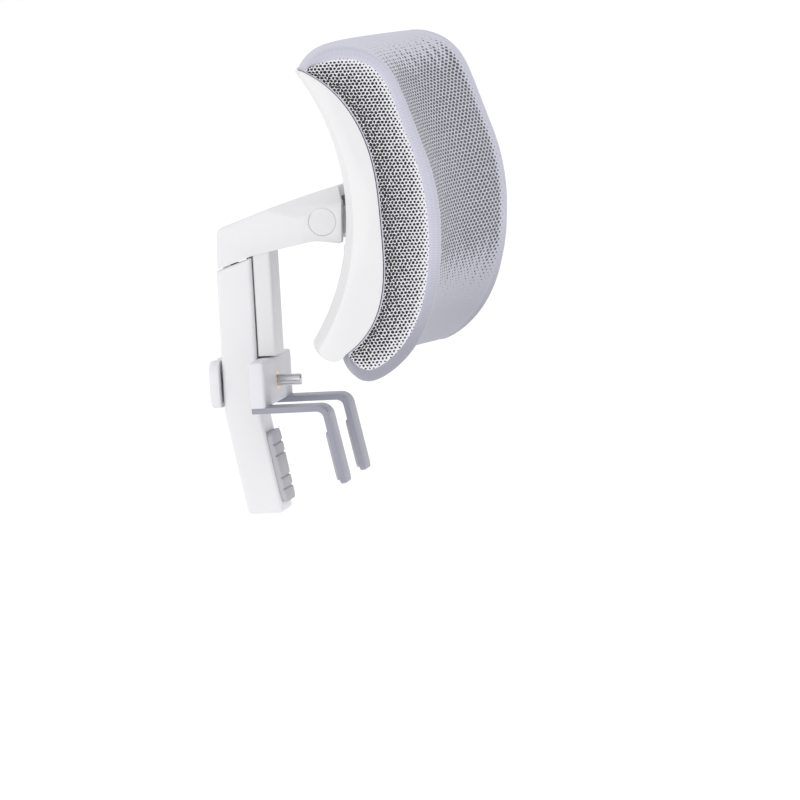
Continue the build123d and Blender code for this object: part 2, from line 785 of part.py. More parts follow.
clip_back = post_front - carriage_gap / 2
with BuildPart() as clamp_screw:
    with BuildSketch(Plane.XZ.offset(-knob_front)):
        with Locations((0, screw_z)):
            RegularPolygon(hex_flats / 2, 6, major_radius=False)
    extrude(amount=-hex_height)
    add(rod(0, screw_z, knob_front, screw_tip, screw_radius))
    chamfer(clamp_screw.edges().filter_by(GeomType.CIRCLE).group_by(Axis.Y)[0], 0.6)
    with BuildSketch(Plane.XZ.offset(-clip_back)):
        with Locations((0, screw_z)):
            Circle(screw_radius + 1)
            Circle(screw_radius - 0.5, mode=Mode.SUBTRACT)
    extrude(amount=clip_thickness, mode=Mode.SUBTRACT)
save(clamp_screw.part, "clamp_screw")

with BuildPart() as knob_washer:
    add(rod(0, screw_z, knob_front - washer_gap / 2, post_back + washer_gap / 2, 6.5))
    add(rod(0, screw_z, knob_front, post_back, screw_radius + running_gap), mode=Mode.SUBTRACT)
save(knob_washer.part, "knob_washer")

with BuildPart() as screw_clip:
    with BuildSketch(Plane.XZ.offset(-clip_back + 0.05)):
        with Locations((0, screw_z)):
            Circle(clip_radius)
            Circle(screw_radius - 0.45, mode=Mode.SUBTRACT)
        with Locations((0, screw_z - clip_radius)):
            Rectangle(3.6, 2 * clip_radius - 2, mode=Mode.SUBTRACT)
    extrude(amount=clip_thickness - 0.1)
save(screw_clip.part, "screw_clip")

hook_screw_y = (carriage_back + carriage_front) / 2
hook_screws_at = [(i * hook_x + j * hook_screw_step, hook_screw_y) for i in (-1, 1) for j in (-1, 1)]

with BuildPart() as hook_carriage:
    with BuildSketch(Plane.XY.offset(carriage_bottom)):
        with Locations((0, (carriage_back + carriage_front) / 2)):
            RectangleRounded(carriage_width, carriage_depth, 2.0)
    extrude(amount=carriage_height)
    fillet(hook_carriage.edges().group_by(Axis.Z)[-1], 1.2)
    with BuildSketch(Plane.XZ.offset(-carriage_back + 1)):
        with Locations((guide_x, screw_z), (-guide_x, screw_z)):
            Rectangle(guide_width, guide_height)
    extrude(amount=-(guide_reach + 1))
    clip_room = carriage_back - clip_thickness - 0.6
    add(rod(0, screw_z, carriage_back + 0.1, clip_room, clip_radius + 0.6), mode=Mode.SUBTRACT)
    add(rod(0, screw_z, carriage_back + 1, carriage_front - 1, screw_radius + 0.1), mode=Mode.SUBTRACT)
    with BuildSketch(Plane.XZ.offset(-carriage_front + 1)):
        with Locations((0, screw_z)):
            Rectangle(nut_width + 0.1, nut_width + 0.1)
    extrude(amount=-(nut_height + 1.1), mode=Mode.SUBTRACT)
    with BuildSketch(Plane.XY.offset(carriage_bottom - 1)):
        with Locations(*hook_screws_at):
            Circle(m4_radius)
    extrude(amount=hook_screw_reach + 2, mode=Mode.SUBTRACT)
save(hook_carriage.part, "hook_carriage")

with BuildPart() as clamp_nut:
    with BuildSketch(Plane.XZ.offset(-carriage_front - 0.05)):
        with Locations((0, screw_z)):
            RectangleRounded(nut_width, nut_width, 0.8)
            Circle(screw_radius + running_gap, mode=Mode.SUBTRACT)
    extrude(amount=-nut_height)
save(clamp_nut.part, "clamp_nut")

prong = radians(prong_lean)
hook_root_y = carriage_back - 0.5
inner_foot = -(throat_depth + hook_pad_thickness)


def prong_inner(z):
    """Point (y, z) on the prong's face that looks at the chair's back."""
    return (inner_foot + z * tan(prong), z)


outer_corner = (prong_inner(carriage_bottom)[0] - hook_thickness / cos(prong), carriage_bottom)
outer_tip = (outer_corner[0] - prong_length * sin(prong), outer_corner[1] - prong_length * cos(prong))
inner_tip = (outer_tip[0] + hook_thickness * cos(prong), outer_tip[1] - hook_thickness * sin(prong))

for name, side in (("hook_right", -1), ("hook_left", 1)):
    with BuildPart() as hook:
        with BuildSketch(Plane.YZ.offset(side * hook_x)):
            with BuildLine():
                FilletPolyline(
                    (hook_root_y, carriage_bottom),
                    outer_corner,
                    outer_tip,
                    inner_tip,
                    prong_inner(hook_seat_z),
                    (hook_root_y, hook_seat_z),
                    radius=[0.4, hook_bend + hook_thickness, 0.6, 0.6, hook_bend, 0.4],
                    close=True,
                )
            make_face()
        extrude(amount=hook_width / 2, both=True)
        with BuildSketch(Plane.XZ):
            with Locations((side * hook_x, inner_tip[1] + 60)):
                RectangleRounded(hook_width, 120, 5.0)
        extrude(amount=80, both=True, mode=Mode.INTERSECT)
        with BuildSketch(Plane.XY.offset(hook_seat_z - 1)):
            with Locations(*[place for place in hook_screws_at if place[0] * side > 0]):
                Circle(m4_radius + 0.1)
        extrude(amount=hook_thickness + 2, mode=Mode.SUBTRACT)
        for place in hook_screws_at:
            if place[0] * side > 0:
                seat = sunk_head((*place, hook_seat_z), (0, 0, 1), sunk_radius + sunk_clearance)
                add(seat, mode=Mode.SUBTRACT)
    save(hook.part, name)

with BuildPart() as hook_screws:
    for place in hook_screws_at:
        add(sunk_head((*place, hook_seat_z + sink_gap), (0, 0, 1), sunk_radius))
    with BuildSketch(Plane.XY.offset(hook_seat_z + sink_gap + 0.5)):
        with Locations(*hook_screws_at):
            Circle(m4_radius)
    extrude(amount=hook_thickness - sink_gap - 0.5 + hook_screw_reach)
    with BuildSketch(Plane.XY.offset(hook_seat_z)):
        with Locations(*hook_screws_at):
            Rectangle(4.0, 0.9)
            Rectangle(0.9, 4.0)
    extrude(amount=sink_gap + 1.2, mode=Mode.SUBTRACT)
save(hook_screws.part, "hook_screws")

with BuildPart() as hook_pads:
    for side in (-1, 1):
        foot_y, foot_z = prong_inner(hook_pad_z)
        pad_face = Plane(
            origin=(side * hook_x, foot_y, foot_z), x_dir=(1, 0, 0), z_dir=(0, cos(prong), -sin(prong))
        )
        with BuildSketch(pad_face):
            RectangleRounded(hook_width - 4, prong_length - 16, 3.0)
        extrude(amount=hook_pad_thickness)
save(hook_pads.part, "hook_pads")
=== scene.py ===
import math

import bpy
import numpy as np
from mathutils import Matrix, Vector


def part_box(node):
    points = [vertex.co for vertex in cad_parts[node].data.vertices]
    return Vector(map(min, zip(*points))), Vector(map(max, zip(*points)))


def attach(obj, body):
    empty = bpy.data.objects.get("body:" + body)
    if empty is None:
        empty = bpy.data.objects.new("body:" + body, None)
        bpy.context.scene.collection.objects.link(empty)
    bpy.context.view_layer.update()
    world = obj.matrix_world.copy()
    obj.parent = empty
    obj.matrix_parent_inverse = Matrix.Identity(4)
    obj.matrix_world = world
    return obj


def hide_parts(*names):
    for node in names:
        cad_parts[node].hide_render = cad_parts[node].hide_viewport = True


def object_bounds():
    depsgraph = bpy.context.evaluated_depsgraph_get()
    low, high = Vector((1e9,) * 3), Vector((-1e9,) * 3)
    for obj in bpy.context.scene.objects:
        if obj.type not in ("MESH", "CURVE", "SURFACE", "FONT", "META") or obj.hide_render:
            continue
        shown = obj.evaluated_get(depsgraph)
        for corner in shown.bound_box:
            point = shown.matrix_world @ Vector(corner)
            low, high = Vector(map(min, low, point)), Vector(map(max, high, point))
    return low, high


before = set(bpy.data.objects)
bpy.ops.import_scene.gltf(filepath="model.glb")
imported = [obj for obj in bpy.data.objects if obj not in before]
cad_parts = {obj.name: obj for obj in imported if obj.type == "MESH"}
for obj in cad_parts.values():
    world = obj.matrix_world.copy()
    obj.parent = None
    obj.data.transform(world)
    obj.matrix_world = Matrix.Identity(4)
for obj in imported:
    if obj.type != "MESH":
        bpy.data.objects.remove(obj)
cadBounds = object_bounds()
mm = 0.001


def pick(obj):
    # one object selected and active, nothing else
    if bpy.context.object and bpy.context.object.mode != "OBJECT":
        bpy.ops.object.mode_set(mode="OBJECT")
    bpy.ops.object.select_all(action="DESELECT")
    obj.select_set(True)
    bpy.context.view_layer.objects.active = obj


def applyAll(obj):
    pick(obj)
    for modifier in list(obj.modifiers):
        bpy.ops.object.modifier_apply(modifier=modifier.name)


def softShade(obj, degrees):
    pick(obj)
    bpy.ops.object.shade_smooth_by_angle(angle=math.radians(degrees))


def node(name):
    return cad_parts[name]


def startMaterial(name, colour, rough):
    material = bpy.data.materials.new(name)
    material.use_nodes = True
    tree = material.node_tree
    shader = tree.nodes["Principled BSDF"]
    shader.inputs["Base Color"].default_value = (*colour, 1)
    shader.inputs["Roughness"].default_value = rough
    material.diffuse_color = (*colour, 1)
    return material, tree, shader


def add(tree, kind, **settings):
    made = tree.nodes.new(kind)
    for key, value in settings.items():
        if key in made.inputs.keys():
            made.inputs[key].default_value = value
        else:
            setattr(made, key, value)
    return made


def maths(tree, operation, first, second=0.0, third=0.0):
    made = tree.nodes.new("ShaderNodeMath")
    made.operation = operation
    for slot, value in zip(made.inputs, (first, second, third)):
        if isinstance(value, bpy.types.NodeSocket):
            tree.links.new(value, slot)
        else:
            slot.default_value = value
    return made.outputs[0]


def blendColour(tree, factor, first, second):
    made = tree.nodes.new("ShaderNodeMix")
    made.data_type = "RGBA"
    asked = ((made.inputs[0], factor), (made.inputs[6], first), (made.inputs[7], second))
    for slot, value in asked:
        if isinstance(value, bpy.types.NodeSocket):
            tree.links.new(value, slot)
        elif slot == made.inputs[0]:
            slot.default_value = value
        else:
            slot.default_value = (*value, 1)
    return made.outputs[2]


def bump(tree, height, strength, distance, shader):
    made = add(tree, "ShaderNodeBump", Strength=strength, Distance=distance)
    tree.links.new(height, made.inputs["Height"])
    tree.links.new(made.outputs[0], shader.inputs["Normal"])


plasticLook = {
    "whitePlastic": dict(colour=(0.755, 0.755, 0.77), rough=0.42, grain=1500, depth=0.05, mottle=0.025),
    "shellPlastic": dict(colour=(0.73, 0.73, 0.74), rough=0.38, grain=1100, depth=0.04, mottle=0.02),
    "capPlastic": dict(colour=(0.75, 0.75, 0.765), rough=0.48, grain=1500, depth=0.05, mottle=0.02),
    "knobPlastic": dict(colour=(0.75, 0.75, 0.78), rough=0.50, grain=1000, depth=0.10, mottle=0.03),
    "carriagePlastic": dict(colour=(0.71, 0.71, 0.75), rough=0.50, grain=900, depth=0.10, mottle=0.03),
    "bracketNylon": dict(colour=(0.70, 0.70, 0.72), rough=0.55, grain=700, depth=0.12, mottle=0.05),
    "bushNylon": dict(colour=(0.72, 0.71, 0.66), rough=0.45, grain=900, depth=0.05, mottle=0.03),
    "washerFibre": dict(colour=(0.42, 0.35, 0.27), rough=0.85, grain=500, depth=0.35, mottle=0.12),
    "boardPlastic": dict(colour=(0.27, 0.27, 0.29), rough=0.60, grain=600, depth=0.15, mottle=0.05),
    "gripRubber": dict(colour=(0.48, 0.48, 0.51), rough=0.78, grain=700, depth=0.25, mottle=0.06),
}

# what all the plastics share: cloudy tint, and gloss that varies with the grain
plasticSkin = dict(cloudScale=38.0, cloudDetail=3.0, grainDetail=2.0, glossSpread=0.14, relief=0.0004)


def plastic(name):
    look = plasticLook[name]
    material, tree, shader = startMaterial(name, look["colour"], look["rough"])
    place = add(tree, "ShaderNodeTexCoord")
    skin = plasticSkin
    cloud = add(tree, "ShaderNodeTexNoise", Scale=skin["cloudScale"], Detail=skin["cloudDetail"])
    tree.links.new(place.outputs["Object"], cloud.inputs["Vector"])
    dark = tuple(c * (1 - 2 * look["mottle"]) for c in look["colour"])
    tint = blendColour(tree, cloud.outputs[0], dark, look["colour"])
    tree.links.new(tint, shader.inputs["Base Color"])
    grain = add(tree, "ShaderNodeTexNoise", Scale=float(look["grain"]), Detail=skin["grainDetail"])
    tree.links.new(place.outputs["Object"], grain.inputs["Vector"])
    spread = skin["glossSpread"]
    gloss = maths(tree, "MULTIPLY_ADD", grain.outputs[0], spread, look["rough"] - spread / 2)
    tree.links.new(gloss, shader.inputs["Roughness"])
    bump(tree, grain.outputs[0], look["depth"], skin["relief"], shader)
    return material


metalLook = {
    "screwSteel": dict(colour=(0.60, 0.60, 0.62), rough=0.30, brush=260),
    "hingeSteel": dict(colour=(0.56, 0.56, 0.58), rough=0.28, brush=320),
    "springSteel": dict(colour=(0.42, 0.43, 0.46), rough=0.34, brush=400),
    "insertBrass": dict(colour=(0.70, 0.55, 0.28), rough=0.32, brush=500),
}

# what all the metals share: fine marks drawn out along Y
metalSkin = dict(stretch=(1.0, 0.08, 1.0), fineness=4.0, detail=4.0, dullSpread=0.22, dullLess=0.10,
                 strength=0.10, relief=0.0002)


def metal(name):
    look = metalLook[name]
    material, tree, shader = startMaterial(name, look["colour"], look["rough"])
    shader.inputs["Metallic"].default_value = 1.0
    place = add(tree, "ShaderNodeTexCoord")
    stretch = add(tree, "ShaderNodeMapping", Scale=metalSkin["stretch"])
    marks = look["brush"] * metalSkin["fineness"]
    brushed = add(tree, "ShaderNodeTexNoise", Scale=marks, Detail=metalSkin["detail"])
    tree.links.new(place.outputs["Object"], stretch.inputs["Vector"])
    tree.links.new(stretch.outputs[0], brushed.inputs["Vector"])
    least = look["rough"] - metalSkin["dullLess"]
    dull = maths(tree, "MULTIPLY_ADD", brushed.outputs[0], metalSkin["dullSpread"], least)
    tree.links.new(dull, shader.inputs["Roughness"])
    bump(tree, brushed.outputs[0], metalSkin["strength"], metalSkin["relief"], shader)
    return material


coatLook = dict(colour=(0.29, 0.29, 0.35), rubbed=(0.42, 0.42, 0.48), rough=0.42, peelScale=1300.0,
                rubScale=55.0, rubAbove=0.63, rubShare=0.25, strength=0.18, relief=0.0003)


def powderCoat():
    # grey coat over steel, orange-peel skin and paler rubbed spots
    material, tree, shader = startMaterial("hookCoat", coatLook["colour"], coatLook["rough"])
    place = add(tree, "ShaderNodeTexCoord")
    peel = add(tree, "ShaderNodeTexNoise", Scale=coatLook["peelScale"], Detail=2.0)
    rub = add(tree, "ShaderNodeTexNoise", Scale=coatLook["rubScale"], Detail=4.0)
    for texture in (peel, rub):
        tree.links.new(place.outputs["Object"], texture.inputs["Vector"])
    worn = maths(tree, "GREATER_THAN", rub.outputs[0], coatLook["rubAbove"])
    faded = maths(tree, "MULTIPLY", worn, coatLook["rubShare"])
    tint = blendColour(tree, faded, coatLook["colour"], coatLook["rubbed"])
    tree.links.new(tint, shader.inputs["Base Color"])
    bump(tree, peel.outputs[0], coatLook["strength"], coatLook["relief"], shader)
    return material


meshLook = {
    "frontMesh": dict(
        yarn=(0.60, 0.60, 0.685), shade=(0.43, 0.43, 0.52), hole=(0.012, 0.012, 0.018), pitchAcross=6.4,
        pitchAlong=2.2, hole0=0.37, rib=1.35, uneven=0.7, rough=0.86,
    ),
    "gussetMesh": dict(
        yarn=(0.86, 0.86, 0.89), shade=(0.55, 0.55, 0.60), hole=(0.006, 0.006, 0.008), pitchAcross=2.0,
        pitchAlong=1.9, hole0=0.385, rib=1.0, uneven=1.0, rough=0.88,
    ),
}

# what both knits share, lengths in millimetres of cloth
knitSkin = dict(sheen=0.25, sheenRough=0.5, wobbleScale=0.55, wobble=1.1, unevenScale=0.9, holeEdge=0.04,
                waleShare=0.36, columnShare=0.14, columnPitch=2.3, fuzzScale=2.6, darkest=0.6,
                weaveRelief=0.35, strength=0.55, relief=0.0006)
rowStep = math.sqrt(3)  # staggered rows stand this many pitches apart, two to a repeat


def spacerMesh(name):
    # knitted mesh: staggered round holes between ribs of yarn, read off the piece's own cloth map in mm
    look = meshLook[name]
    material, tree, shader = startMaterial(name, look["yarn"], look["rough"])
    shader.inputs["Sheen Weight"].default_value = knitSkin["sheen"]
    shader.inputs["Sheen Roughness"].default_value = knitSkin["sheenRough"]
    cloth = add(tree, "ShaderNodeUVMap", uv_map="cloth")
    wobble = add(tree, "ShaderNodeTexNoise", Scale=knitSkin["wobbleScale"], Detail=2.0)
    tree.links.new(cloth.outputs[0], wobble.inputs["Vector"])
    centred = add(tree, "ShaderNodeVectorMath", operation="SUBTRACT")
    tree.links.new(wobble.outputs["Color"], centred.inputs[0])
    centred.inputs[1].default_value = (0.5, 0.5, 0.5)
    shift = add(tree, "ShaderNodeVectorMath", operation="MULTIPLY_ADD")
    tree.links.new(centred.outputs[0], shift.inputs[0])
    shift.inputs[1].default_value = (knitSkin["wobble"], knitSkin["wobble"], 0)
    tree.links.new(cloth.outputs[0], shift.inputs[2])
    part = add(tree, "ShaderNodeSeparateXYZ")
    tree.links.new(shift.outputs[0], part.inputs[0])
    across = maths(tree, "DIVIDE", part.outputs[0], look["pitchAcross"])
    along = maths(tree, "DIVIDE", part.outputs[1], look["pitchAlong"] * rowStep)
    nearest = None
    for offset in (0.0, 0.5):
        besides = maths(tree, "SUBTRACT", maths(tree, "FRACT", maths(tree, "ADD", across, offset)), 0.5)
        upwards = maths(tree, "SUBTRACT", maths(tree, "FRACT", maths(tree, "ADD", along, offset)), 0.5)
        upwards = maths(tree, "MULTIPLY", upwards, rowStep)
        squares = [maths(tree, "MULTIPLY", way, way) for way in (besides, upwards)]
        far = maths(tree, "SQRT", maths(tree, "ADD", *squares))
        nearest = far if nearest is None else maths(tree, "MINIMUM", nearest, far)
    openness = add(tree, "ShaderNodeAttribute", attribute_name="openness")
    uneven = add(tree, "ShaderNodeTexNoise", Scale=knitSkin["unevenScale"], Detail=2.0)
    tree.links.new(cloth.outputs[0], uneven.inputs["Vector"])
    loose = maths(tree, "MULTIPLY_ADD", uneven.outputs[0], look["uneven"], 1.0 - 0.5 * look["uneven"])
    size = maths(tree, "MULTIPLY", openness.outputs["Fac"], loose)
    size = maths(tree, "MULTIPLY", size, look["hole0"])
    rim = maths(tree, "SUBTRACT", nearest, size)
    solid = tree.nodes.new("ShaderNodeMapRange")
    solid.interpolation_type = "SMOOTHSTEP"
    solid.inputs["From Min"].default_value = -knitSkin["holeEdge"]
    solid.inputs["From Max"].default_value = knitSkin["holeEdge"]
    tree.links.new(rim, solid.inputs["Value"])
    columnPitch = knitSkin["columnPitch"] * look["rib"]
    wale = maths(tree, "SINE", maths(tree, "MULTIPLY", part.outputs[1], 2 * math.pi / look["rib"]))
    column = maths(tree, "SINE", maths(tree, "MULTIPLY", part.outputs[0], 2 * math.pi / columnPitch))
    ribbed = maths(tree, "MULTIPLY_ADD", column, knitSkin["columnShare"], 0.5)
    ribbed = maths(tree, "MULTIPLY_ADD", wale, knitSkin["waleShare"], ribbed)
    fuzz = add(tree, "ShaderNodeTexNoise", Scale=knitSkin["fuzzScale"], Detail=3.0)
    tree.links.new(cloth.outputs[0], fuzz.inputs["Vector"])
    weave = maths(tree, "MULTIPLY_ADD", ribbed, 0.5, maths(tree, "MULTIPLY", fuzz.outputs[0], 0.5))
    knit = blendColour(tree, weave, look["shade"], look["yarn"])
    # painted shade: where the attribute read here is low, the knit's colour is blended towards a darker
    # shadow colour
    paintedLight = add(tree, "ShaderNodeAttribute", attribute_name="paintedLight")
    shadow = tuple(knitSkin["darkest"] * c for c in look["shade"])
    knit = blendColour(tree, paintedLight.outputs["Fac"], shadow, knit)
    seen = blendColour(tree, solid.outputs[0], look["hole"], knit)
    tree.links.new(seen, shader.inputs["Base Color"])
    yarnHeight = maths(tree, "MULTIPLY", weave, knitSkin["weaveRelief"])
    height = maths(tree, "MULTIPLY_ADD", solid.outputs[0], 1.0, yarnHeight)
    bump(tree, height, knitSkin["strength"], knitSkin["relief"], shader)
    return material


materials = {name: plastic(name) for name in plasticLook}
materials.update({name: metal(name) for name in metalLook})
materials["hookCoat"] = powderCoat()
materials.update({name: spacerMesh(name) for name in meshLook})
print("materials ready:", len(materials))


# moulded and pressed parts shown with softened edges: material, body, edge radius in mm
softenedParts = {
    "post_sleeve": dict(look="whitePlastic", body="post", edge=0.5),
    "arm": dict(look="whitePlastic", body="arm", edge=0.6),
    "back_shell": dict(look="shellPlastic", body="headrest", edge=0.45),
    "clamp_knob": dict(look="knobPlastic", body="knob", edge=0.35),
    "hook_carriage": dict(look="carriagePlastic", body="carriage", edge=0.35),
    "hook_right": dict(look="hookCoat", body="carriage", edge=0.3),
    "hook_left": dict(look="hookCoat", body="carriage", edge=0.3),
    "tail_pad": dict(look="gripRubber", body="post", edge=0.3),
}

# parts shown as the design has them
plainParts = {
    "detent_spring": "springSteel", "stop_screw": "screwSteel", "tilt_pin": "hingeSteel",
    "tilt_nut": "hingeSteel", "pin_caps": "capPlastic", "tilt_bushes": "bushNylon",
    "friction_washers": "washerFibre", "tilt_bracket": "bracketNylon", "bracket_screws": "screwSteel",
    "carrier_board": "boardPlastic", "board_inserts": "insertBrass", "board_screws": "screwSteel",
    "clamp_screw": "hingeSteel", "knob_washer": "screwSteel", "screw_clip": "springSteel",
    "clamp_nut": "insertBrass", "hook_screws": "screwSteel", "hook_pads": "gripRubber",
}

edgeWork = dict(merge=1e-6, flat=0.6, corner=38, segments=2, shade=30)  # metres, then degrees


def softened(name, look, body, edge):
    piece = node(name).copy()
    piece.data = node(name).data.copy()
    piece.name = name + "_moulded"
    piece.parent = None
    piece.matrix_world = Matrix.Identity(4)
    for key in list(piece.keys()):
        del piece[key]
    bpy.context.collection.objects.link(piece)
    pick(piece)
    if "custom_normal" in piece.data.attributes:
        piece.data.attributes.remove(piece.data.attributes["custom_normal"])
    bpy.ops.object.mode_set(mode="EDIT")
    bpy.ops.mesh.select_all(action="SELECT")
    bpy.ops.mesh.remove_doubles(threshold=edgeWork["merge"])
    bpy.ops.mesh.dissolve_limited(angle_limit=math.radians(edgeWork["flat"]))
    bpy.ops.object.mode_set(mode="OBJECT")
    rounding = piece.modifiers.new("edges", "BEVEL")
    rounding.width = edge * mm
    rounding.segments = edgeWork["segments"]
    rounding.limit_method = "ANGLE"
    rounding.angle_limit = math.radians(edgeWork["corner"])
    applyAll(piece)
    softShade(piece, edgeWork["shade"])
    piece.data.materials.clear()
    piece.data.materials.append(materials[look])
    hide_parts(name)
    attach(piece, body)


for name, part in softenedParts.items():
    softened(name, **part)
for name, look in plainParts.items():
    node(name).data.materials.clear()
    node(name).data.materials.append(materials[look])
print("hard parts:", len(softenedParts), "softened,", len(plainParts), "as designed")


cushion = dict(
    planCentreY=-0.5364,  # centre that the headrest curves round, in front of it
    crownPoints=84, rimPoints=84, gussetRows=9, middleStations=64,
    edgeRoll=6.0 * mm, rollSteps=7,  # soft rolled edge where the front panel meets each gusset
    tipRoom=16 * mm,  # the roll dies away towards the two tips
    startInset=2.0 * mm, rimInset=0.15,  # the pad starts smaller and swells, least along its rim
    quickInset=0.6 * mm, mostSwell=5.0 * mm, evenPasses=40, fillOut=0.95,
)

cushionCloth = dict(pressure=4.5, frames=20, quality=6, mass=0.25, stretch=18, shear=6, bend=0.6)

# how open the knit is, and how much painted shade falls on the front panel: millimetres from the seam,
# then shares of the way over the front
knitSpread = dict(
    seamPlain=12, seamFade=9, topPlain=0.15, topFade=0.07, lowPlain=0.76, lowFade=0.12,
    raggedWide=0.02, raggedFine=0.012,
    paintedLightAt=[0, 0.06, 0.2, 0.6, 0.8, 1], paintedLight=[0.8, 0.9, 1, 0.95, 0.2, 0.15],
    gussetAt=[0, 0.12, 0.4, 0.8, 0.95, 1], gussetOpen=[1.12, 1.15, 1.05, 0.9, 0.7, 0.4],
)

# seam at each end of the front panel, a line stitched beside it, and the pucker between
sewnLines = dict(
    seamPull=0.7 * mm, bandPull=0.75 * mm, pucker=0.22 * mm, puckered=(1, 2, 3, 5, 6, -2, -3, -4, -6, -7),
)


def sectionOutline():
    # the gusset's flat outer face has only outline points, so its edge is the section at that end
    gusset = node("cover_gusset_right")
    low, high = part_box("cover_gusset_right")
    cloud = np.array([v.co for v in gusset.data.vertices])
    face = cloud[cloud[:, 0] < low.x + 0.01 * mm]
    face = np.unique(np.round(face[:, 1:], 6), axis=0)
    middle = np.array([face[:, 0].mean(), (low.z + high.z) / 2])
    # walk the outline from point to nearest unused point
    left = list(range(len(face)))
    order = [left.pop(int(np.argmax(face[:, 1])))]
    while left:
        away = np.linalg.norm(face[left] - face[order[-1]], axis=1)
        order.append(left.pop(int(np.argmin(away))))
    outline = face[order]
    topTip = int(np.argmax(np.where(outline[:, 1] > middle[1], outline[:, 0], -np.inf)))
    outline = np.roll(outline, -topTip, axis=0)
    lowTip = int(np.argmax(np.where(outline[:, 1] < middle[1], outline[:, 0], -np.inf)))
    one, two = outline[: lowTip + 1], np.vstack([outline[lowTip:], outline[:1]])[::-1]
    crown, rim = (one, two) if one[:, 0].min() < two[:, 0].min() else (two, one)
    return crown, rim, low.x


def evenly(points, count):
    steps = np.linalg.norm(np.diff(points, axis=0), axis=1)
    run = np.concatenate([[0], np.cumsum(steps)])
    at = np.linspace(0, run[-1], count)
    return np.stack([np.interp(at, run, points[:, i]) for i in (0, 1)], 1), at


crownEnd, rimEnd, endX = sectionOutline()
crownEnd, crownRun = evenly(crownEnd, cushion["crownPoints"])
rimEnd, rimRun = evenly(rimEnd, cushion["rimPoints"])
print("section: crown", round(crownRun[-1] / mm), "mm, rim", round(rimRun[-1] / mm), "mm")


def sections(outline, reach):
    # the end section's points, each at its distance from the plan centre, set at x = reach
    radius = np.hypot(endX, outline[:, 0] - cushion["planCentreY"])
    y = cushion["planCentreY"] + np.sqrt(radius**2 - reach**2)
    return np.stack([np.full(len(outline), reach), y, outline[:, 1]], 1)


def inwardNormals(outline, centre):
    along = np.gradient(outline, axis=0)
    square = np.stack([-along[:, 1], along[:, 0]], 1)
    square /= np.linalg.norm(square, axis=1)[:, None]
    wrong = np.sum(square * (centre - outline), axis=1) < 0
    square[wrong] *= -1
    return square


